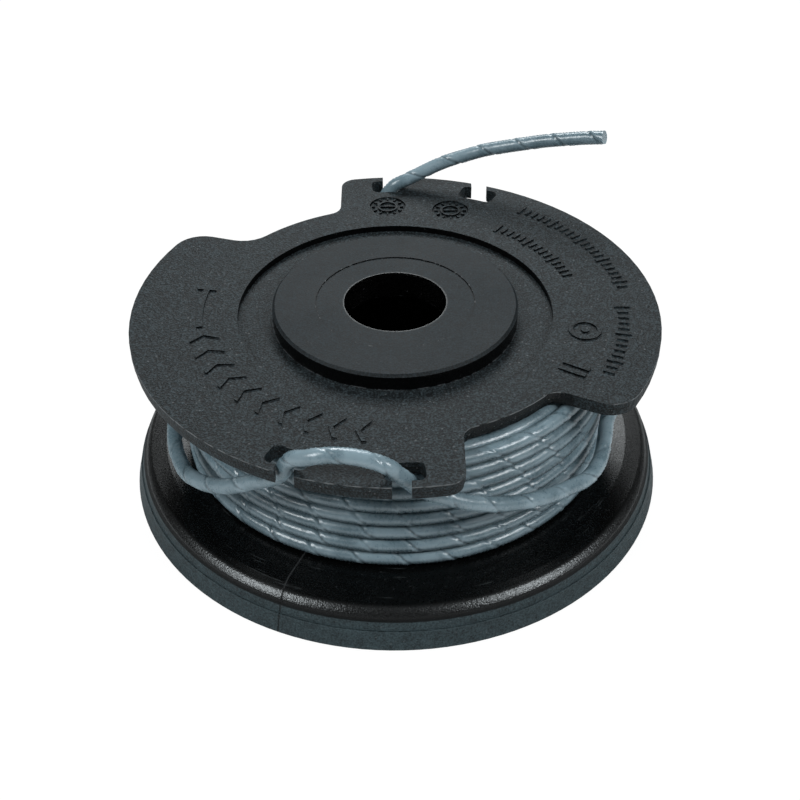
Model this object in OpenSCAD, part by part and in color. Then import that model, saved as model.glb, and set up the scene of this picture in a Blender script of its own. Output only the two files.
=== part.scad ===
// Line spool for a grass trimmer head: a one-piece moulded spool and its wound line.
// The rim of the lower flange stands on z = 0 and the spool's axis is the z axis.

/* [Upper flange] */
// Radius of the upper flange
plate_r = 31; // [29:0.5:33]
// Thickness of the upper flange
plate_t = 1.7; // [1.5:0.1:2]
// Radius of the two scoops in its edge
scoop_r = 23.1; // [22.6:0.1:23.5]
// Half width of the tabs beside the scoops
tab_half_w = 7.05; // [6.6:0.05:7.5]
// Direction of the front lobe's flank
front_flank_deg = -26; // [-28:1:-24]
// Distance of the front lobe's flank from the axis
front_flank_at = 6.4; // [6.2:0.1:6.6]
// Radius where the front lobe's flank meets its scoop
front_heel_r = 1.8; // [1.6:0.1:2]
// Direction of the back lobe's flank
back_flank_deg = -17; // [-19:1:-15]
// Distance of the back lobe's flank from the axis
back_flank_at = 8.7; // [8.5:0.1:8.9]
// Radius where the back lobe's flank meets its scoop
back_heel_r = 4; // [3.6:0.1:4.4]
// Radius of the tabs' outer corners
tab_corner_r = 2; // [1.5:0.1:2.5]
// Radius of the lobes' outer corners
lobe_corner_r = 3.6; // [3.2:0.1:4]
// Radius of the scoops' inner corners beside the tabs
scoop_corner_r = 1.8; // [1.4:0.1:2]
// Inset of the flange's lower half below the parting line
parting_inset = 0.14; // [0.08:0.02:0.2]

/* [Line slots] */
// Width of the two narrow slots near the middle of the tabs
mid_slot_w = 2; // [1.9:0.05:2.2]
// Distance of the middle slots from the centre line
mid_slot_x = 0.55; // [0.4:0.05:0.7]
// Width of the two outer slots
side_slot_w = 2; // [1.9:0.05:2.2]
// Distance of the outer slots from the centre line
side_slot_x = 11.35; // [11.2:0.05:11.5]
// Inner radius of the holes at the slots' ends
hole_in_r = 27.1; // [26.9:0.1:27.3]
// Outer radius of the holes at the slots' ends
hole_out_r = 30; // [29.8:0.1:30.1]
// Radius of the holes' corners
hole_corner_r = 0.8; // [0.6:0.1:1]

/* [Boss and bore] */
// Radius of the bore
bore_r = 6; // [5.5:0.1:6.5]
// Radius of the raised boss
boss_r = 14.4; // [13.8:0.1:15]
// Height of the boss above the flange
boss_h = 1.2; // [1:0.1:1.4]
// Radius of the turned step on the boss
step_r = 9.3; // [8.8:0.1:9.8]
// Depth of the turned step
step_h = 0.12; // [0.08:0.02:0.2]
// Outer radius of the sunk ring round the boss
moat_r = 18.5; // [18:0.1:19]
// Depth of the sunk ring
moat_h = 0.8; // [0.6:0.1:1]

/* [Drum and lower flange] */
// Height of the gap between the two flanges
winding_h = 15.3; // [15:0.1:16]
// Radius of the drum under the line
drum_r = 20.2; // [19.6:0.1:20.8]
// Wall of the drum
drum_wall = 1.8; // [1.4:0.1:2.2]
// Wall of the drum's closed end
cap_wall = 1.6; // [1.4:0.1:1.8]
// Radius of the lower flange at its foot
rim_r = 32.6; // [32:0.1:33.5]
// Radius of the lower flange at the top of its skirt
skirt_top_r = 31.6; // [31.2:0.1:31.9]
// Height of the skirt
skirt_h = 3.7; // [3.4:0.1:4]
// Wall of the skirt
skirt_wall = 1.5; // [1.2:0.1:1.8]
// Height of the whole lower flange
flange_h = 6; // [5.7:0.1:6.6]
// Wall of the lower flange's web
web_t = 1.8; // [1.5:0.1:2.1]
// Radius at which the flange's flat top ends
flat_r = 28.6; // [28:0.1:29]

/* [Drive cams] */
// Number of ramped cams under the lower flange
cam_count = 8; // [6:1:10]
// Inner radius of the cams
cam_in_r = 24; // [23.5:0.1:24.5]
// Outer radius of the cams
cam_out_r = 28.4; // [28:0.1:28.6]
// Length of one cam's ramp
cam_len = 14; // [12:0.5:15]
// Depth of a cam at its driving face
cam_h = 3.2; // [2.6:0.1:3.6]

/* [Line] */
// Diameter of the line
line_d = 1.8; // [1.6:0.1:1.8]
// Number of turns side by side in a layer
turns = 8; // [7:1:8]
// Outer radius of the wound line
coil_r = 25.35; // [25:0.05:25.4]

/* [Marks] */
// Height of the raised marks
mark_h = 0.2; // [0.1:0.05:0.3]
// Number of chevrons that show the winding direction
chevron_count = 10; // [6:1:10]
// Radius of the two round date discs
disc_r = 2.35; // [2:0.05:2.5]
// Depth of the date discs
disc_h = 0.25; // [0.15:0.05:0.35]

/* [Hidden] */
$fn = 96;
// How far a cut runs past the face it opens
over = 0.5;
// Clearance round the wound line
seat_gap = 0.05;
// Small edge break
edge = 0.3;
// Levels along the axis
plate_z = flange_h + winding_h;
plate_top = plate_z + plate_t;
boss_top = plate_top + boss_h;
moat_floor = plate_top - moat_h;
cap_z = moat_floor - cap_wall;
web_z = flange_h - web_t;
drum_in_r = drum_r - drum_wall;
// The moulding step on the skirt, as shares of the skirt's height and of its flare
step_at_share = 0.72;
step_out_share = 0.22;

// Angle between two points of a wide arc, of a corner, of a turn of line and of a curved mark
wide_deg = 4;
corner_deg = 15;
turn_step_deg = 30;
mark_step_deg = 3;

// Points of an arc round a centre, from one bearing to the other
function arc(c, r, a0, a1, d) =
    let (n = max(1, ceil(abs(a1 - a0) / d)))
    [for (i = [0:n]) let (a = a0 + (a1 - a0) * i / n) [c[0] + r * cos(a), c[1] + r * sin(a)]];

// Centres of a scoop's corners beside the tab
tab_c_x = tab_half_w - tab_corner_r;
tab_c_y = -sqrt(pow(plate_r - tab_corner_r, 2) - pow(tab_c_x, 2));
dip_reach = scoop_r + scoop_corner_r;
dip_c_x = tab_half_w + scoop_corner_r;
dip_c_y = -sqrt(pow(dip_reach, 2) - pow(dip_c_x, 2));
dip_deg = atan2(dip_c_y, dip_c_x);
tab_deg = atan2(tab_c_y, tab_c_x);

// Direction, distance from the axis and heel radius of each lobe's flank
front_flank = [front_flank_deg, front_flank_at, front_heel_r];
back_flank = [back_flank_deg, back_flank_at, back_heel_r];

// The point at a distance from the axis that lies beside a flank
function beside(flank, reach, aside) =
    let (d = flank[1] + aside)
    sqrt(pow(reach, 2) - pow(d, 2)) * [cos(flank[0]), sin(flank[0])] + d * [sin(flank[0]), -cos(flank[0])];

// Half of the upper flange's outline, drawn in by e
function half_outline(e, flank) =
    let (heel = beside(flank, scoop_r + flank[2], flank[2]),
         nose = beside(flank, plate_r - lobe_corner_r, -lobe_corner_r),
         heel_deg = atan2(heel[1], heel[0]),
         nose_deg = atan2(nose[1], nose[0]))
    concat(
        arc([tab_c_x, tab_c_y], tab_corner_r - e, tab_deg, 0, corner_deg),
        arc([dip_c_x, dip_c_y], scoop_corner_r + e, 180, dip_deg + 180, corner_deg),
        arc([0, 0], scoop_r - e, dip_deg + wide_deg / 2, heel_deg - wide_deg / 2, wide_deg),
        arc(heel, flank[2] + e, heel_deg + 180, flank[0] + 90, corner_deg),
        arc(nose, lobe_corner_r - e, flank[0] - 90, nose_deg, corner_deg),
        arc([0, 0], plate_r - e, nose_deg + wide_deg, tab_deg + 180 - wide_deg, wide_deg));

function outline(e) = concat(half_outline(e, front_flank), [for (p = half_outline(e, back_flank)) -p]);

// Bearings of the holes at the slots' ends, measured on the front tab
mid_hole_deg = [-92.6, -84];
side_hole_deg = [-117.4, -108];

// A hole between two radii and two bearings, with round corners
module sector_hole(bearings) {
    k = hole_corner_r;
    in_k = asin(k / (hole_in_r + k));
    out_k = asin(k / (hole_out_r - k));
    polygon(concat(
        arc([0, 0], hole_in_r, bearings[1] - in_k, bearings[0] + in_k, 2),
        arc((hole_in_r + k) * [cos(bearings[0] + in_k), sin(bearings[0] + in_k)], k,
            bearings[0] + 180 + in_k, bearings[0] - 90 + 360, corner_deg * 2),
        arc((hole_out_r - k) * [cos(bearings[0] + out_k), sin(bearings[0] + out_k)], k,
            bearings[0] - 90, bearings[0] + out_k, corner_deg * 2),
        arc([0, 0], hole_out_r, bearings[0] + out_k, bearings[1] - out_k, 2),
        arc((hole_out_r - k) * [cos(bearings[1] - out_k), sin(bearings[1] - out_k)], k,
            bearings[1] - out_k, bearings[1] + 90, corner_deg * 2),
        arc((hole_in_r + k) * [cos(bearings[1] - in_k), sin(bearings[1] - in_k)], k,
            bearings[1] + 90, bearings[1] + 180 - in_k, corner_deg * 2)));
}

// A slot that runs out through the edge beside a hole
module slot(x, w) {
    inner_y = sqrt(pow((hole_in_r + hole_out_r) / 2, 2) - pow(x, 2));
    translate([x - w / 2, -plate_r - over]) square([w, plate_r + over - inner_y]);
}

// Everything cut through the two tabs
module slots_2d() {
    for (turn = [0, 180]) rotate(turn) {
        slot(mid_slot_x, mid_slot_w);
        sector_hole(mid_hole_deg);
        slot(-side_slot_x, side_slot_w);
        sector_hole(side_hole_deg);
    }
}

// One layer of the upper flange
module plate_layer(z, h, e) {
    translate([0, 0, z]) linear_extrude(h) difference() {
        polygon(outline(e));
        slots_2d();
    }
}

// Sizes of the raised marks
arrow_r = 22.9;
arrow_w = 0.7;
arrow_head = 2.4;
arrow_deg = [189, 170];
arrow_share = [[-0.5, 0], [0.5, 0], [0, -1]];
chevron_r = 22.6;
chevron_size = 3.4;
chevron_deg = [-166, -99];
chevron_share = [[-0.22, -0.5], [-0.06, -0.5], [0.22, 0], [-0.06, 0.5], [-0.22, 0.5], [0.06, 0]];
tick_w = 0.34;
tick_len = 1.25;
tick_long_share = 1.5;
tick_every = 5;
// Share of the flange's radius, first bearing, last bearing and number of ticks of each row
tick_row_shares = [[0.89, 53, 9, 22], [0.71, 53, 18, 15], [0.86, 0, -28, 13]];
ring_r = 1.9;
ring_w = 0.5;
ring_at_r = 22.3;
ring_deg = -12;
bar_len = 3.2;
bar_w = 0.6;
bar_at_r = 23.1;
bar_deg = -31;

module at_bearing(r, a) {
    rotate(a) translate([r, 0]) children();
}

module tick(len, w) {
    square([len, w], center = true);
}

module marks_2d() {
    polygon(concat(arc([0, 0], arrow_r + arrow_w / 2, arrow_deg[0], arrow_deg[1], mark_step_deg),
                   arc([0, 0], arrow_r - arrow_w / 2, arrow_deg[1], arrow_deg[0], mark_step_deg)));
    at_bearing(arrow_r, arrow_deg[1])
        polygon(arrow_head * arrow_share);
    for (i = [0:chevron_count - 1])
        at_bearing(chevron_r, chevron_deg[0] + (chevron_deg[1] - chevron_deg[0]) * i / (chevron_count - 1))
            rotate(-90) polygon(chevron_size * chevron_share);
    for (row = tick_row_shares)
        for (i = [0:row[3] - 1])
            at_bearing(plate_r * row[0], row[1] + (row[2] - row[1]) * i / (row[3] - 1))
                tick(tick_len * (i % tick_every == 0 ? tick_long_share : 1), tick_w);
    at_bearing(ring_at_r, ring_deg) difference() {
        circle(ring_r);
        circle(ring_r - ring_w);
    }
    at_bearing(ring_at_r, ring_deg) circle(ring_w);
    for (side = [-1, 1])
        at_bearing(bar_at_r, bar_deg) translate([0, side * bar_w]) tick(bar_len, bar_w);
}

// The two date discs on the back tab, placed by shares of the flange's radius
disc_shares = [[-0.029, 0.756], [0.235, 0.721]];
disc_ticks = 12;

// One disc, with its ring and ticks left standing
module disc_2d(share) {
    translate(plate_r * share) difference() {
        circle(disc_r);
        for (i = [0:disc_ticks - 1])
            rotate(i * 360 / disc_ticks) translate([disc_r * 0.78, 0]) tick(disc_r * 0.2, tick_w / 2);
        tick(disc_r * 0.9, tick_w / 2);
        difference() {
            circle(disc_r * 0.55);
            circle(disc_r * 0.45);
        }
    }
}

// The upper flange with its boss and sunk ring
module upper_flange() {
    difference() {
        union() {
            plate_layer(plate_z, plate_t / 2, parting_inset);
            plate_layer(plate_z + plate_t / 2, plate_t / 2, 0);
            translate([0, 0, plate_top]) linear_extrude(mark_h) marks_2d();
        }
        translate([0, 0, moat_floor]) cylinder(h = moat_h + over, r = moat_r);
        translate([0, 0, plate_z - over]) cylinder(h = plate_t + over, r = step_r);
        translate([0, 0, plate_top - disc_h]) linear_extrude(disc_h + over)
            for (share = disc_shares) disc_2d(share);
    }
}

// Rounded shoulder from the flange's flat top down to its skirt
shoulder_z = skirt_h + edge / 2;
function shoulder() = [for (a = [0:corner_deg:90])
    [flat_r + (skirt_top_r - edge - flat_r) * cos(a), shoulder_z + (flange_h - shoulder_z) * sin(a)]];

// Everything that turns round the axis: boss, closed end, drum, web and skirt
module turned_body() {
    rotate_extrude() polygon(concat([
        [bore_r, cap_z],
        [drum_in_r, cap_z],
        [drum_in_r, web_z],
        [flat_r - skirt_wall, web_z],
        [skirt_top_r - skirt_wall, skirt_h - skirt_wall],
        [rim_r - skirt_wall, 0],
        [rim_r - edge, 0],
        [rim_r, edge],
        [skirt_top_r + (rim_r - skirt_top_r) * (1 - step_at_share) + edge / 2, skirt_h * step_at_share],
        [skirt_top_r + (rim_r - skirt_top_r) * (1 - step_at_share), skirt_h * step_at_share],
        [skirt_top_r, skirt_h]],
        shoulder(),
        [[drum_r, flange_h],
        [drum_r, plate_z],
        [moat_r, plate_z],
        [moat_r, moat_floor],
        [boss_r, moat_floor],
        [boss_r, boss_top - edge],
        [boss_r - edge, boss_top],
        [step_r, boss_top],
        [step_r, boss_top - step_h],
        [bore_r, boss_top - step_h]]));
}

// Ramped cams inside the skirt, each with one upright driving face
module drive_cams() {
    intersection() {
        translate([0, 0, web_z - cam_h]) difference() {
            cylinder(h = cam_h + web_t / 2, r = cam_out_r);
            translate([0, 0, -over]) cylinder(h = cam_h + web_t + over, r = cam_in_r);
        }
        for (i = [0:cam_count - 1])
            rotate(i * 360 / cam_count) translate([0, -cam_len / 2, web_z]) rotate([90, 0, 90])
                linear_extrude(rim_r) polygon([[0, 0], [cam_len, 0], [cam_len, -cam_h]]);
    }
}

module spool() {
    color("#26282a") union() {
        turned_body();
        upper_flange();
        drive_cams();
    }
}

// The wound line: one ring whose outside shows each turn of the top layer
coil_z0 = flange_h;
coil_z1 = plate_z - 2 * seat_gap;
turn_pitch = (coil_z1 - coil_z0) / turns;
turn_r = turn_pitch / 2;
turn_deg = 75;

function turn_profile(i) =
    arc([coil_r - turn_r, coil_z0 + (i + 0.5) * turn_pitch], turn_r, -turn_deg, turn_deg, turn_step_deg);

module line_coil() {
    color("#8b98a0") rotate_extrude() polygon(concat(
        [[drum_r + seat_gap, coil_z0]],
        [[coil_r - turn_r, coil_z0]],
        [for (i = [0:turns - 1]) each turn_profile(i)],
        [[coil_r - turn_r, coil_z1]],
        [[drum_r + seat_gap, coil_z1]]));
}

// Route of the loose line, from the winding to the cut end
tail_route = [
    [7.1, 25.6, 17.0], [13.5, 23.0, 16.5], [19.1, 18.6, 16.1], [23.3, 13.0, 15.7], [25.8, 6.6, 15.3],
    [26.7, -0.2, 14.9], [26.1, -5.7, 14.7], [24.5, -10.1, 14.3], [24.0, -12.4, 13.7], [23.5, -14.4, 13.1],
    [22.7, -16.5, 12.8], [21.2, -18.8, 12.9], [19.0, -20.9, 13.5], [16.4, -23.0, 14.2], [13.6, -24.8, 15.1],
    [10.6, -26.3, 16.2], [7.6, -27.4, 17.5], [5.0, -27.9, 18.8], [3.6, -28.0, 19.4], [2.2, -28.1, 20.3],
    [1.4, -28.4, 21.3], [0.6, -28.8, 22.4], [0.1, -29.2, 23.2], [-0.4, -29.5, 24.1], [-1.1, -29.6, 24.7],
    [-2.3, -29.5, 25.2], [-4.1, -29.3, 25.6], [-6.2, -29.1, 25.7], [-7.9, -29.0, 25.5], [-9.2, -28.6, 24.9],
    [-10.5, -27.8, 24.1], [-11.3, -27.2, 22.7], [-11.6, -26.7, 21.5], [-12.3, -26.1, 20.3],
    [-13.6, -25.7, 19.4], [-14.9, -25.0, 18.5], [-16.4, -24.1, 17.3], [-18.2, -23.0, 16.0],
    [-20.1, -21.4, 14.7], [-21.8, -19.5, 13.6], [-23.5, -17.2, 12.7], [-24.6, -14.8, 12.3],
    [-25.5, -12.1, 12.4], [-25.9, -9.2, 12.8], [-26.2, -5.5, 13.3], [-26.5, -1.2, 13.9], [-26.1, 4.6, 14.6],
    [-24.7, 9.8, 15.3], [-22.4, 14.8, 16.0], [-18.8, 19.2, 16.7], [-14.5, 22.8, 17.4], [-10.3, 25.2, 18.1],
    [-6.7, 26.7, 18.8], [-4.1, 27.4, 19.5], [-2.5, 27.7, 20.3], [-1.4, 28.1, 21.5], [-0.7, 28.1, 22.6],
    [0.2, 28.0, 23.6], [1.6, 28.2, 24.2], [3.3, 28.6, 24.9], [5.4, 29.0, 25.8], [7.5, 29.2, 26.6],
    [9.8, 29.3, 27.3], [12.1, 29.1, 28.1], [14.4, 28.6, 28.8], [17.0, 27.9, 29.6], [19.5, 27.1, 30.4],
    [21.9, 26.2, 31.1], [24.4, 25.2, 31.8], [26.8, 24.0, 32.5]];
tail_sides = 8;

function unit(v) = v / norm(v);

// Direction of the route at each point
function heading(p, i) = unit(p[min(i + 1, len(p) - 1)] - p[max(i - 1, 0)]);

// Side direction carried along the route, so that the tube doesn't twist
function carried(t, side) = unit(side - (side * t) * t);
function sides_along(p, i, side) =
    i >= len(p) ? [] : let (s = carried(heading(p, i), side)) concat([s], sides_along(p, i + 1, s));

// A tube of n sides along a route, closed at both ends
module tube(p, r, n) {
    s = sides_along(p, 0, [0, 0, 1]);
    rings = [for (i = [0:len(p) - 1]) let (t = heading(p, i), u = s[i], v = cross(t, u))
        each [for (k = [0:n - 1]) p[i] + r * (cos(k * 360 / n) * u + sin(k * 360 / n) * v)]];
    walls = [for (i = [0:len(p) - 2]) each [for (k = [0:n - 1])
        [i * n + k, i * n + (k + 1) % n, (i + 1) * n + (k + 1) % n, (i + 1) * n + k]]];
    first = [for (k = [n - 1:-1:0]) k];
    last = [for (k = [0:n - 1]) (len(p) - 1) * n + k];
    faces = concat(walls, [first, last]);
    polyhedron(points = rings, faces = [for (f = faces) [for (j = [len(f) - 1:-1:0]) f[j]]]);
}

module line_tail() {
    color("#8b98a0") tube(tail_route, line_d / 2, tail_sides);
}

spool();
line_coil();
line_tail();
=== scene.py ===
import math

import bmesh
import bpy
from mathutils import Matrix, Vector, noise


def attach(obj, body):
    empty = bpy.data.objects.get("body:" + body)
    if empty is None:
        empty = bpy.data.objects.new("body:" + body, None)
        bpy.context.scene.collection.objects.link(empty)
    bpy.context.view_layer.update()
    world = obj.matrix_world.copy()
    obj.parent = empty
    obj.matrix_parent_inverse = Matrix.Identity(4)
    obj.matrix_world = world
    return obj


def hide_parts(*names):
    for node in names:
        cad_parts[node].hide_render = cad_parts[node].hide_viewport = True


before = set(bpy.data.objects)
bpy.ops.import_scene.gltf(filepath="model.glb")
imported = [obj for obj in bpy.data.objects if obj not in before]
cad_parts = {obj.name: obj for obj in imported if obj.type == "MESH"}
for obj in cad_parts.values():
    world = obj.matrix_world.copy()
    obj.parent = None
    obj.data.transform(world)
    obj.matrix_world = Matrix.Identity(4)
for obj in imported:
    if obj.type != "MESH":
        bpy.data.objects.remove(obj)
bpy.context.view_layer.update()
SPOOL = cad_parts["spool"]

# Levels and radii of the spool, in metres
PLATE_TOP = 0.0230
PARTING_Z = 0.02215
MOAT_FLOOR = 0.0222
BOSS_R = 0.0144
STEP_R = 0.0093
SCOOP_R = 0.0233
CREASE_Z = 0.00392
SKIRT_STEP = 0.00266
SEAM_BEARING = -114.0
SEAM_WIDTH = (0.00005, 0.00013)

# Heights at which one surface gives way to the next, as the start and end of the change
PLATE_UNDERSIDE = (0.0208, 0.0211)
BOSS_SIDE = (0.0238, 0.0240)
BOSS_FACE = (0.0240, 0.0242)
SKIRT_LINE = (0.0036, 0.0039)
EDGE_TOP = (0.0050, 0.0055)
EDGE_MIDDLE = (0.0042, 0.0052)
EDGE_FOOT = (0.0040, 0.0043)

# Radii at which one surface gives way to the next
BORE_WALL = (0.00602, 0.00625)
MOAT_WALL = (0.0186, 0.0190)
BEYOND_MOAT = (0.0184, 0.0190)
SEAM_FROM = (0.0243, 0.0250)
SHOULDER = (0.0284, 0.0288)
EDGE_R = (0.0302, 0.0304)
SKIRT_R = (0.0310, 0.0312)

# Sizes and depths of the moulding's texture
GRAIN, FLECK, MOTTLE, CLOUD = 0.00021, 0.00017, 0.0012, 0.009
GRAIN_DEPTH, SEAM_DEPTH = 0.00009, 0.00008

# Colours of the moulding
GROOVE_BLACK = (0.0012, 0.0014, 0.0014)
PLATE_BLACK = (0.0135, 0.0182, 0.0205)
# The skirt's matte black, lightened partly by a painted reflection of the pale floor
SKIRT_BLACK_AND_SHEEN = (0.0290, 0.0440, 0.0492)
WALL_SHADE_BLACK = (0.0100, 0.0145, 0.0165)
BOSS_BLACK = (0.0065, 0.0100, 0.0125)
SHADE_BLACK = (0.0006, 0.0006, 0.0006)
DUST_GREY = (0.150, 0.158, 0.165)
EDGE_REFLECTION = (0.068, 0.070, 0.071)

# The cutting line, and the radii and heights of its turns
LINE_D = 0.0018
LINE_TWIST = 0.005
LAYER_R = (0.0211, 0.0228)
TOP_TURNS = [(0.02490, 0.00692), (0.02475, 0.00872), (0.02455, 0.01056), (0.02450, 0.01250),
             (0.02445, 0.01440), (0.02445, 0.01625), (0.02440, 0.01810), (0.02440, 0.02000)]
FINE, COARSE = 0.00045, 0.003

# How far the turns wander, how often round a turn, and how differently from turn to turn
WANDER, WANDER_LUMPS, WANDER_CHANGE = 0.00006, 2, 3.7

# Bearings between which a turn climbs to the next one, and the bearing at which the last turn leaves
STEP_FROM, STEP_TO = 130.0, 60.0
LEAVES_AT = 150

# The line's outline, as angle, share of the radius, and tone: painted shade in the crease and a painted
# highlight beside it
LINE_PROFILE = [(0, 0.915, -1.0), (12, 0.96, -0.4), (24, 1.015, 0.8), (40, 1.02, 0.6), (58, 1.01, 0.0)]
LINE_PROFILE += [(angle, 0.99, 0.0) for angle in range(82, 318, 26)]
LINE_PROFILE += [(328, 0.975, 0.0), (346, 0.93, -0.6)]

# Where the line leaves the winding, as radius, bearing and height
LEAD_OUT = [(0.02480, 138, 0.0200), (0.02540, 122, 0.0199), (0.02595, 108, 0.0197),
            (0.02630, 97, 0.0192), (0.02650, 88, 0.0184), (0.02660, 81, 0.0177)]

# The loose turn, the loop over the front tab and the free end
LOOSE_ROUTE = [
    (0.0071, 0.0256, 0.0170), (0.0135, 0.0230, 0.0165), (0.0191, 0.0186, 0.0161),
    (0.0233, 0.0130, 0.0157), (0.0258, 0.0066, 0.0153), (0.0267, -0.0002, 0.0149),
    (0.0261, -0.0057, 0.0147), (0.0245, -0.0101, 0.0143), (0.0240, -0.0124, 0.0137),
    (0.0235, -0.0144, 0.0131), (0.0227, -0.0165, 0.0128), (0.0212, -0.0188, 0.0129),
    (0.0190, -0.0209, 0.0135), (0.0164, -0.0230, 0.0142), (0.0136, -0.0248, 0.0151),
    (0.0106, -0.0263, 0.0162), (0.0076, -0.0274, 0.0175), (0.0050, -0.0279, 0.0188),
    (0.0036, -0.0280, 0.0194), (0.0022, -0.0281, 0.0203), (0.0014, -0.0284, 0.0213),
    (0.0006, -0.0288, 0.0224), (0.0001, -0.0292, 0.0232), (-0.0004, -0.0295, 0.0241),
    (-0.0011, -0.0296, 0.0247), (-0.0023, -0.0295, 0.0252), (-0.0041, -0.0293, 0.0256),
    (-0.0062, -0.0291, 0.0257), (-0.0079, -0.0290, 0.0255), (-0.0092, -0.0286, 0.0249),
    (-0.0105, -0.0278, 0.0241), (-0.0113, -0.0272, 0.0227), (-0.0116, -0.0267, 0.0215),
    (-0.0123, -0.0261, 0.0203), (-0.0136, -0.0257, 0.0194), (-0.0149, -0.0250, 0.0185),
    (-0.0164, -0.0241, 0.0173), (-0.0182, -0.0230, 0.0160), (-0.0201, -0.0214, 0.0147),
    (-0.0218, -0.0195, 0.0136), (-0.0235, -0.0172, 0.0127), (-0.0246, -0.0148, 0.0123),
    (-0.0255, -0.0121, 0.0124), (-0.0259, -0.0092, 0.0128), (-0.0262, -0.0055, 0.0133),
    (-0.0265, -0.0012, 0.0139), (-0.0261, 0.0046, 0.0146), (-0.0247, 0.0098, 0.0153),
    (-0.0224, 0.0148, 0.0160), (-0.0188, 0.0192, 0.0167), (-0.0145, 0.0228, 0.0174),
    (-0.0103, 0.0252, 0.0181), (-0.0067, 0.0267, 0.0188), (-0.0041, 0.0274, 0.0195),
    (-0.0025, 0.0277, 0.0203), (-0.0014, 0.0281, 0.0215), (-0.0007, 0.0281, 0.0226),
    (0.0002, 0.0280, 0.0236), (0.0016, 0.0282, 0.0242), (0.0033, 0.0286, 0.0249),
    (0.0054, 0.0290, 0.0258), (0.0075, 0.0292, 0.0266), (0.0098, 0.0293, 0.0273),
    (0.0121, 0.0291, 0.0281), (0.0144, 0.0286, 0.0288), (0.0170, 0.0279, 0.0296),
    (0.0195, 0.0271, 0.0304), (0.0219, 0.0262, 0.0311), (0.0244, 0.0252, 0.0318),
    (0.0268, 0.0240, 0.0325)]

# Where the wound part of the line ends, outwards and upwards
WINDING_R = (0.0256, 0.0260)
WINDING_TOP = (0.0205, 0.0210)

# Sizes and depth of the line's texture
LINE_CLOUD, LINE_PATCH, LINE_FINE = 0.0035, 0.0022, 0.0004
LINE_DEPTH = 0.00003

# Colours of the line
LINE_DARK, LINE_PALE = (0.140, 0.206, 0.240), (0.250, 0.338, 0.384)
LINE_SPECK = (0.10, 0.14, 0.16)
LINE_SHADE = (0.045, 0.066, 0.077)
CREASE_SHADE, CREASE_HIGHLIGHT = (0.035, 0.052, 0.062), (0.40, 0.48, 0.52)

# The camera: lens and sensor in millimetres, distance in metres and angles in radians
LENS, SENSOR = 59.856, 36.0
DISTANCE = 0.15686
RISE, PAN, TILT, ROLL = 0.611, -0.0031, 0.0686, -0.007
NEAREST, FURTHEST = 0.005, 20.0

# The soft boxes, as name, place, width and power, and the point they face
LAMPS = [("left_box", (-0.42, -0.22, 0.44), 0.24, 2.1),
         ("right_box", (0.42, -0.22, 0.44), 0.24, 2.1),
         ("back_box", (0.0, 0.54, 0.46), 0.3, 2.9)]
LAMP_COLOUR = (0.93, 0.98, 1.0)
LIT_POINT = (0, 0, 0.012)

# The floor and the world, which look white to the camera and light the spool a little
FLOOR_HALF = 3.0
FLOOR_COLOUR = (0.86, 0.86, 0.86)
FLOOR_GLOW, GLOW_SHARE = 1.04, 0.93
WORLD_LIGHT = 0.07
WHITE = (1, 1, 1, 1)


def photo_camera():
    """The camera, where the photograph was taken from."""
    data = bpy.data.cameras.new("camera")
    data.sensor_width, data.lens = SENSOR, LENS
    data.clip_start, data.clip_end = NEAREST, FURTHEST
    camera = bpy.data.objects.new("camera", data)
    bpy.context.scene.collection.objects.link(camera)
    sine, cosine = math.sin(RISE), math.cos(RISE)
    level = Matrix(((1, 0, 0), (0, -sine, -cosine), (0, cosine, -sine)))
    turn = Matrix.Rotation(ROLL, 3, "Z") @ Matrix.Rotation(TILT, 3, "X") @ Matrix.Rotation(PAN, 3, "Y")
    across, down, ahead = turn @ level
    place = Matrix((across, -down, -ahead)).transposed().to_4x4()
    place.translation = (0, -DISTANCE * cosine, DISTANCE * sine + PLATE_TOP)
    camera.matrix_world = place
    bpy.context.scene.camera = camera


def eased(share):
    """A share from 0 to 1 that starts and ends softly."""
    share = min(max(share, 0.0), 1.0)
    return share * share * (3 - 2 * share)


def on_ring(radius, bearing, z):
    """The point at a radius, a bearing in degrees and a height."""
    a = math.radians(bearing)
    return Vector((radius * math.cos(a), radius * math.sin(a), z))


def wound_points():
    """Points of the three wound layers, each with a note of whether the top layer shows it."""
    heights = [z for _, z in TOP_TURNS]
    inner, middle = LAYER_R
    turns = [(inner, z, False) for z in heights]
    turns += [(middle, z, False) for z in reversed(heights)]
    turns += [(r, z, True) for r, z in TOP_TURNS]
    points = []
    for n, (radius, z, shown) in enumerate(turns):
        last = n == len(turns) - 1
        next_radius, next_z, _ = turns[n] if last else turns[n + 1]
        by_flange = n % len(TOP_TURNS) in (0, len(TOP_TURNS) - 1)
        count = int(2 * math.pi * radius / (FINE if shown else COARSE))
        for i in range(count):
            bearing = STEP_TO - 360.0 * i / count
            if last and bearing < LEAVES_AT - 360:
                break
            share = eased((STEP_FROM - 360 - bearing) / (STEP_FROM - STEP_TO))
            wave = WANDER * noise.noise(on_ring(WANDER_LUMPS, bearing, n * WANDER_CHANGE))
            r = radius + (next_radius - radius) * share + wave
            level = z + (next_z - z) * share + (0 if by_flange else wave)
            points.append((on_ring(r, bearing, level), shown))
    return points


def curved(points, step):
    """The smooth curve through the points, at about the given step."""
    found = []
    for i in range(len(points) - 1):
        before = points[i - 1] if i else points[0] * 2 - points[1]
        after = points[i + 2] if i + 2 < len(points) else points[-1] * 2 - points[-2]
        start, end = points[i], points[i + 1]
        count = max(1, round((end - start).length / step))
        for k in range(count):
            t = k / count
            straight = 2 * start + (end - before) * t
            square = (2 * before - 5 * start + 4 * end - after) * t * t
            cube = (3 * start - before - 3 * end + after) * t ** 3
            found.append(0.5 * (straight + square + cube))
    found.append(points[-1])
    return found


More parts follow.
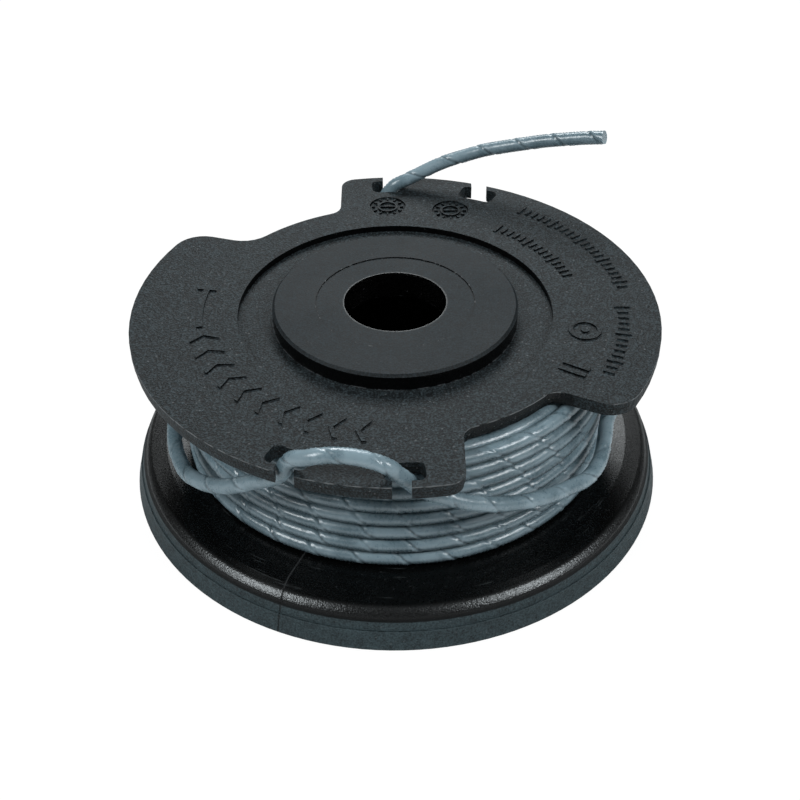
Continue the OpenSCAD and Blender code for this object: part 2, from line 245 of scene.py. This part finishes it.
def line_profile():
    """The line's outline with its crease, as a closed curve."""
    ring = bpy.data.curves.new("line_profile", "CURVE")
    ring.dimensions = "2D"
    spline = ring.splines.new("POLY")
    spline.points.add(len(LINE_PROFILE) - 1)
    for point, (angle, share, _) in zip(spline.points, LINE_PROFILE):
        a, r = math.radians(angle), LINE_D / 2 * share
        point.co = (r * math.cos(a), r * math.sin(a), 0, 1)
    spline.use_cyclic_u = True
    profile = bpy.data.objects.new("line_profile", ring)
    bpy.context.scene.collection.objects.link(profile)
    return profile


def line_path(points, shown, profile):
    """The line's path, which twists where it is seen, and its length."""
    data = bpy.data.curves.new("line_path", "CURVE")
    data.dimensions = "3D"
    data.twist_mode = "MINIMUM"
    data.bevel_mode = "OBJECT"
    data.bevel_object = profile
    data.use_fill_caps = True
    path = data.splines.new("POLY")
    path.points.add(len(points) - 1)
    length, turn = 0.0, 0.0
    for i, p in enumerate(points):
        if i:
            gap = (p - points[i - 1]).length
            length += gap
            turn += gap / LINE_TWIST * 2 * math.pi if shown[i] else 0
        path.points[i].co = (*p, 1)
        path.points[i].tilt = turn % (2 * math.pi)
    tube = bpy.data.objects.new("line_path", data)
    bpy.context.scene.collection.objects.link(tube)
    return tube, length


def cutting_line():
    """The whole line as one tube: three wound layers, the loose turn, the loop and the free end."""
    wound = wound_points()
    route = [wound[-1][0]] + [on_ring(*place) for place in LEAD_OUT] + [Vector(p) for p in LOOSE_ROUTE]
    loose = curved(route, FINE)
    points = [p for p, _ in wound] + loose[1:]
    shown = [s for _, s in wound] + [True] * (len(loose) - 1)

    profile = line_profile()
    tube, length = line_path(points, shown, profile)
    bpy.context.view_layer.update()
    mesh = bpy.data.meshes.new_from_object(tube.evaluated_get(bpy.context.evaluated_depsgraph_get()))
    bpy.data.objects.remove(tube)
    bpy.data.objects.remove(profile)
    line = bpy.data.objects.new("cutting_line", mesh)
    bpy.context.scene.collection.objects.link(line)

    # The flat caps have more than four corners and stay unsmoothed
    mesh.polygons.foreach_set("use_smooth", [len(f.vertices) <= 4 for f in mesh.polygons])
    # Each corner's tone of painted shade or painted highlight, for the line's finish
    pinch = mesh.attributes.new("pinch", "FLOAT", "POINT")
    tones = [tone for _, _, tone in LINE_PROFILE]
    pinch.data.foreach_set("value", [tones[i % len(tones)] for i in range(len(mesh.vertices))])

    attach(line, "root")
    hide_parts("line_coil", "line_tail")
    return line


class Wire:
    """One output of a finish's nodes. Sums and products of wires add Math nodes."""

    def __init__(self, finish, socket):
        self.finish, self.socket = finish, socket

    def __add__(self, other):
        return self.finish.maths("ADD", self, other)

    def __radd__(self, other):
        return self.finish.maths("ADD", other, self)

    def __sub__(self, other):
        return self.finish.maths("SUBTRACT", self, other)

    def __rsub__(self, other):
        return self.finish.maths("SUBTRACT", other, self)

    def __mul__(self, other):
        return self.finish.maths("MULTIPLY", self, other)

    def __rmul__(self, other):
        return self.finish.maths("MULTIPLY", other, self)

    def __truediv__(self, other):
        return self.finish.maths("DIVIDE", self, other)

    def __abs__(self):
        return self.finish.maths("ABSOLUTE", self)

    def rising(self, low, high):
        """0 below low, 1 above high, and smooth between."""
        return self.finish.add("ShaderNodeMapRange", {"interpolation_type": "SMOOTHSTEP"},
                               {"Value": self, "From Min": low, "From Max": high})

    def falling(self, low, high):
        """1 below low, 0 above high, and smooth between."""
        return 1 - self.rising(low, high)

    def near(self, value, half, soft):
        """1 within half of the value, fading out over soft."""
        return abs(self - value).falling(half, half + soft)


class Finish:
    """A procedural material of one of the surfaces."""

    # Places of a colour mix's share, first, second and result among its sockets
    MIX_INPUTS = (0, 6, 7)
    MIX_RESULT = 2

    def __init__(self, name):
        self.material = bpy.data.materials.new(name)
        self.material.use_nodes = True
        self.tree = self.material.node_tree
        self.shader = self.tree.nodes["Principled BSDF"]

    def add(self, kind, settings=None, sockets=None, out=0):
        """A node with its settings and the values or wires of its sockets, as a wire from one output."""
        node = self.tree.nodes.new(kind)
        for name, value in (settings or {}).items():
            setattr(node, name, value)
        for name, value in (sockets or {}).items():
            self.feed(node.inputs[name], value)
        return Wire(self, node.outputs[out])

    def feed(self, socket, value):
        if isinstance(value, Wire):
            self.tree.links.new(value.socket, socket)
        else:
            socket.default_value = value

    def set(self, **values):
        """Values or wires for the shader's own sockets."""
        for name, value in values.items():
            self.feed(self.shader.inputs[name.replace("_", " ")], value)

    def maths(self, operation, *values):
        return self.add("ShaderNodeMath", {"operation": operation}, dict(enumerate(values)))

    def places(self):
        return self.add("ShaderNodeTexCoord", out="Object")

    def normal(self):
        return self.add("ShaderNodeNewGeometry", out="Normal")

    def parts(self, vector):
        """The x, y and z of a vector."""
        node = self.add("ShaderNodeSeparateXYZ", sockets={0: vector}).socket.node
        return [Wire(self, node.outputs[i]) for i in range(3)]

    def joined(self, x, y, z):
        return self.add("ShaderNodeCombineXYZ", {}, {0: x, 1: y, 2: z})

    def from_axis(self, at):
        """The level vector from the spool's axis to a place, and its length."""
        across = self.add("ShaderNodeVectorMath", {"operation": "MULTIPLY"}, {0: at, 1: (1, 1, 0)})
        return across, self.add("ShaderNodeVectorMath", {"operation": "LENGTH"}, {0: across}, out="Value")

    def noise(self, at, size, detail=2.0, rough=0.5):
        """Noise whose lumps are about the given size across."""
        return self.add("ShaderNodeTexNoise", {},
                        {"Vector": at, "Scale": 1 / size, "Detail": detail, "Roughness": rough})

    def spots(self, at, spacing):
        """Distance from the nearest of some scattered points, in shares of their spacing."""
        return self.add("ShaderNodeTexVoronoi", {"feature": "F1"}, {"Vector": at, "Scale": 1 / spacing})

    def blend(self, share, first, second):
        """The first colour or vector where the share is 0, and the second where it is 1."""
        node = self.add("ShaderNodeMix", {"data_type": "RGBA"}).socket.node
        for index, value in zip(self.MIX_INPUTS, (share, first, second)):
            self.feed(node.inputs[index], (*value, 1) if isinstance(value, tuple) else value)
        return Wire(self, node.outputs[self.MIX_RESULT])

    def bump(self, height, depth, under=None):
        """A bump of the given depth in metres for a height from 0 to 1."""
        sockets = {"Height": height, "Distance": depth, "Strength": 1.0}
        if under is not None:
            sockets["Normal"] = under
        return self.add("ShaderNodeBump", {}, sockets)


class SpoolZones:
    """Places on the moulding, and masks that are 1 on one of its surfaces and 0 off it."""

    def __init__(self, f):
        self.at = f.places()
        self.x, self.y, self.z = f.parts(self.at)
        across, self.r = f.from_axis(self.at)
        self.bearing = f.maths("ARCTAN2", self.y, self.x)
        self.normal = f.normal()
        self.facing = f.parts(self.normal)[2]
        z, r = self.z, self.r

        self.plate = z.rising(*PLATE_UNDERSIDE)
        self.skirt = z.falling(*SKIRT_LINE)
        self.polished = (1 - self.plate) * (1 - self.skirt)
        self.edge = self.polished * z.falling(*EDGE_TOP) * z.rising(*EDGE_FOOT) * r.rising(*EDGE_R)
        self.groove = self.polished * (1 - self.edge)
        self.boss = z.rising(*BOSS_SIDE)

        self.wall = self.facing.falling(0.3, 0.8)
        outward = f.add("ShaderNodeVectorMath", {"operation": "DOT_PRODUCT"},
                        {0: self.normal, 1: across}, out="Value") / r
        self.rim = outward.rising(0.3, 0.6) * self.plate * r.rising(*BEYOND_MOAT)
        bore = r.falling(*BORE_WALL) * z.falling(*BOSS_FACE)
        inner = r.falling(*MOAT_WALL) + 0.9 * r.near(SCOOP_R, 0.0018, 0.0006)
        self.dark_wall = f.maths("MAXIMUM", bore, self.wall * self.plate * inner)

        seam = (abs(self.bearing - math.radians(SEAM_BEARING)) * r).falling(*SEAM_WIDTH)
        self.seam = seam * (1 - self.plate) * r.rising(*SEAM_FROM)


def nylon_colour(f, zones, grain, mottle, cloud):
    """The moulding's blacks, with painted shade on the plate's side walls and in the bore and recessed walls,
    a painted floor reflection in the skirt's black, and their grain, clouds and dust.
    """
    plate, skirt, boss = zones.plate, zones.skirt, zones.boss
    base = f.blend(plate, GROOVE_BLACK, PLATE_BLACK)
    # The skirt's matte black, partly lightened by a painted reflection of the pale floor
    base = f.blend(skirt, base, SKIRT_BLACK_AND_SHEEN)
    # Painted shade: the plate's side walls are darker than its top
    base = f.blend(zones.wall * plate, base, WALL_SHADE_BLACK)
    base = f.blend(0.55 * boss, base, BOSS_BLACK)
    base = f.blend(zones.dark_wall, base, SHADE_BLACK)

    speckle = 11.0 * (grain - 0.5) * (plate * (1 - 0.5 * boss) + 0.25 * skirt)
    tone = 1.0 + speckle + 1.2 * (mottle - 0.5) + 0.4 * (cloud - 0.5)
    tone = f.maths("MAXIMUM", tone, 0.2)
    toned = f.add("ShaderNodeVectorMath", {"operation": "SCALE"}, {0: base, "Scale": tone})

    dust = f.spots(zones.at, 0.00075).falling(0.10, 0.20) * f.noise(zones.at, 0.0017).rising(0.42, 0.60)
    held = 0.55 * plate * (1 - 0.8 * boss) + 0.25 * skirt + 0.10 * zones.polished
    return f.blend(dust * (1 - zones.dark_wall) * held, toned, DUST_GREY)


def rim_marks(f, zones, colour):
    """The plate's upper corner with a patchy painted highlight along it, and its parting line with a broken
    pale burr below.
    """
    # Painted highlight along the plate's upper corner, standing in for the rounding of the real edge
    lip_highlight = zones.z.near(PLATE_TOP - 0.00006, 0.00006, 0.00005) * zones.wall * zones.rim
    highlight_patches = f.noise(zones.at, 0.0011).rising(0.36, 0.58)
    colour = f.blend(lip_highlight * highlight_patches * 0.8, colour, (0.19, 0.20, 0.205))

    parting = zones.z.near(PARTING_Z, 0.00009, 0.00005) * zones.rim
    colour = f.blend(parting * 0.9, colour, (0.0015, 0.0015, 0.0015))

    burr = zones.z.near(PARTING_Z - 0.0001, 0.00008, 0.00006) * zones.rim
    broken = f.noise(zones.at, 0.00033).rising(0.60, 0.70)
    return f.blend(burr * broken * 0.8, colour, (0.24, 0.25, 0.255))


def boss_marks(f, zones, colour):
    """The fine turned step on the boss, pale in places, and a painted highlight along the small rounded
    corner at the boss's foot.
    """
    step = zones.r.near(STEP_R, 0.00005, 0.00006) * zones.boss
    colour = f.blend(step * 0.6, colour, (0.006, 0.006, 0.006))
    pale = f.noise(zones.at, 0.0004).rising(0.58, 0.70)
    colour = f.blend(step * pale * 0.7, colour, (0.18, 0.185, 0.19))

    # Painted highlight on the small rounded corner at the boss's foot
    foot_highlight = zones.r.near(BOSS_R, 0.00006, 0.00007) * zones.z.near(MOAT_FLOOR, 0.00006, 0.00006)
    broken = f.noise(zones.at, 0.0009).rising(0.45, 0.6)
    return f.blend(foot_highlight * 0.5 * broken, colour, (0.10, 0.105, 0.11))


def flange_marks(f, zones, colour):
    """The seam across the lower flange, painted shade in the crease at the skirt's top and a paler painted
    line over the skirt's step, and scratches on its flat.
    """
    colour = f.blend(zones.seam * 0.7 * (zones.skirt + zones.edge), colour, (0.002, 0.002, 0.002))
    colour = f.blend(zones.seam * 0.5 * zones.groove, colour, (0.06, 0.062, 0.064))

    # Painted shade in the crease at the top of the skirt
    crease_shade = zones.z.near(CREASE_Z, 0.00018, 0.00012) * zones.r.rising(*SKIRT_R)
    colour = f.blend(crease_shade * 0.9, colour, (0.0010, 0.0011, 0.0012))
    # Painted light: a paler line at the skirt's step, lifting the shade that its ledge shows
    step = zones.z.near(SKIRT_STEP, 0.00008, 0.00010) * zones.skirt
    colour = f.blend(step * 0.25, colour, (0.060, 0.088, 0.098))

    # Noise that is drawn out along the turning direction
    around = f.joined(zones.r, zones.bearing * 0.0013, zones.z)
    scratches = f.noise(around, 0.00022, 1.0, 0.5).rising(0.66, 0.72)
    scratched = f.noise(zones.at, 0.004).rising(0.5, 0.62)
    return f.blend(scratches * scratched * 0.5 * zones.groove, colour, (0.05, 0.055, 0.056))


def flange_shape(f, zones):
    """The surface's normal, with the lower flange's outer edge shaded as a tight curve above its skirt."""
    z = zones.z
    steep = 1.50 - 0.50 * z.falling(*EDGE_TOP) - 0.27 * z.falling(*EDGE_MIDDLE) - 0.47 * z.falling(*EDGE_FOOT)
    level = f.maths("COSINE", steep) / zones.r
    dome = f.joined(zones.x * level, zones.y * level, f.maths("SINE", steep))
    outer = (1 - zones.plate) * zones.r.rising(*SHOULDER) * zones.facing.rising(-0.15, -0.05)
    return f.blend(outer, zones.normal, dome)


def spool_finish():
    """Black nylon: spark-eroded above, polished between the flanges, matte on the skirt."""
    f = Finish("spool_nylon")
    zones = SpoolZones(f)
    plate, skirt, edge, boss = zones.plate, zones.skirt, zones.edge, zones.boss
    grain = f.noise(zones.at, GRAIN, 1.5, 0.6)
    mottle = f.noise(zones.at, MOTTLE, 3.0, 0.65)
    cloud = f.noise(zones.at, CLOUD, 2.0, 0.5)
    flecks = f.noise(zones.at, FLECK, 1.0, 0.5).rising(0.38, 0.66)

    colour = nylon_colour(f, zones, grain, mottle, cloud)
    colour = rim_marks(f, zones, colour)
    colour = boss_marks(f, zones, colour)
    colour = flange_marks(f, zones, colour)

    # The polished edge reflects more than the rest, as a dark mirror does
    mirror = edge * edge * (1 - 0.8 * zones.seam) * (0.75 + 0.25 * flecks)
    colour = f.blend(mirror, colour, EDGE_REFLECTION)

    rough = (0.60 + 0.07 * boss) * plate + (0.28 + 0.02 * edge) * zones.polished + 0.60 * skirt
    rough = rough + 0.10 * (cloud - 0.5) + 0.25 * (grain - 0.5)
    rough = rough * (1 - 0.65 * zones.dark_wall)

    eroded = grain * (1.6 * plate * (1 - 0.7 * boss) + 0.6 * skirt + 0.45 * edge + 0.05)
    relief = f.bump(eroded, GRAIN_DEPTH, flange_shape(f, zones))
    relief = f.bump(1 - zones.seam, SEAM_DEPTH, relief)

    gloss = 0.05 * zones.polished + 0.04 * skirt
    f.set(Base_Color=colour, Roughness=rough, Metallic=edge, Normal=relief, Coat_Weight=gloss)
    f.set(Specular_IOR_Level=0.27, Coat_Roughness=0.22, IOR=1.5)
    return f.material


def line_finish():
    """Grey-blue extruded nylon, a little cloudy, with painted shade in its crease and a painted highlight
    beside it.
    """
    f = Finish("line_nylon")
    at = f.places()
    z = f.parts(at)[2]
    _, r = f.from_axis(at)
    cloud = f.noise(at, LINE_CLOUD, 3.0, 0.55)
    fine = f.noise(at, LINE_FINE, 2.0, 0.6)
    patchy = f.noise(at, LINE_PATCH, 1.0, 0.5).rising(0.38, 0.60)
    pinch = f.add("ShaderNodeAttribute", {"attribute_name": "pinch"}, out="Fac")

    colour = f.blend(cloud.rising(0.35, 0.65), LINE_DARK, LINE_PALE)
    colour = f.blend(fine.rising(0.55, 0.8) * 0.15, colour, LINE_SPECK)

    # The wound turns are darker, most of all on their lower sides
    wound = r.falling(*WINDING_R) * z.falling(*WINDING_TOP)
    lower = f.parts(f.normal())[2].falling(-0.6, 0.4)
    colour = f.blend(wound * (0.15 + 0.7 * lower), colour, LINE_SHADE)

    # Painted shade in the line's crease and a painted highlight on the ridge beside it
    colour = f.blend((-1 * pinch).rising(0.2, 1.0) * (0.08 + 0.55 * patchy), colour, CREASE_SHADE)
    colour = f.blend(pinch.rising(0.2, 0.9) * (0.02 + 0.22 * patchy), colour, CREASE_HIGHLIGHT)
    rough = 0.29 + 0.14 * (cloud - 0.5) + 0.2 * (fine - 0.5)
    f.set(Base_Color=colour, Roughness=rough, Normal=f.bump(fine, LINE_DEPTH), IOR=1.68)
    return f.material


def dress(piece, material):
    """The piece with one material in place of those it had."""
    piece.data.materials.clear()
    piece.data.materials.append(material)


def floor_finish():
    """Pale grey, which the camera sees as white where nothing shades it."""
    f = Finish("floor")
    f.set(Base_Color=(*FLOOR_COLOUR, 1), Roughness=0.7)
    glow = f.add("ShaderNodeEmission", {}, {"Color": WHITE, "Strength": FLOOR_GLOW})
    seen = f.add("ShaderNodeLightPath", out="Is Camera Ray")
    own = Wire(f, f.shader.outputs[0])
    mixed = f.add("ShaderNodeMixShader", {}, {0: seen * GLOW_SHARE, 1: own, 2: glow})
    f.feed(f.tree.nodes["Material Output"].inputs["Surface"], mixed)
    return f.material


def pale_floor():
    mesh = bpy.data.meshes.new("floor")
    sheet = bmesh.new()
    bmesh.ops.create_grid(sheet, x_segments=1, y_segments=1, size=FLOOR_HALF)
    sheet.to_mesh(mesh)
    sheet.free()
    floor = bpy.data.objects.new("floor", mesh)
    bpy.context.scene.collection.objects.link(floor)
    dress(floor, floor_finish())


def pale_world():
    """A world that looks white to the camera and lights the spool only a little."""
    world = bpy.data.worlds.new("surround")
    bpy.context.scene.world = world
    world.use_nodes = True
    nodes, links = world.node_tree.nodes, world.node_tree.links
    path = nodes.new("ShaderNodeLightPath")
    lift = nodes.new("ShaderNodeMapRange")
    links.new(path.outputs["Is Camera Ray"], lift.inputs["Value"])
    lift.inputs["To Min"].default_value, lift.inputs["To Max"].default_value = WORLD_LIGHT, 1.0
    links.new(lift.outputs[0], nodes["Background"].inputs["Strength"])
    nodes["Background"].inputs["Color"].default_value = WHITE


def soft_lamp(name, place, size, power):
    """A square soft box that faces the spool."""
    data = bpy.data.lights.new(name, "AREA")
    data.shape, data.size, data.energy = "SQUARE", size, power
    data.color = LAMP_COLOUR
    lamp = bpy.data.objects.new(name, data)
    lamp.location = place
    lamp.rotation_euler = (Vector(LIT_POINT) - Vector(place)).to_track_quat("-Z", "Y").to_euler()
    bpy.context.scene.collection.objects.link(lamp)


photo_camera()
dress(cutting_line(), line_finish())
dress(SPOOL, spool_finish())
pale_floor()
pale_world()
for lamp in LAMPS:
    soft_lamp(*lamp)
bpy.context.scene.view_settings.view_transform = "Standard"
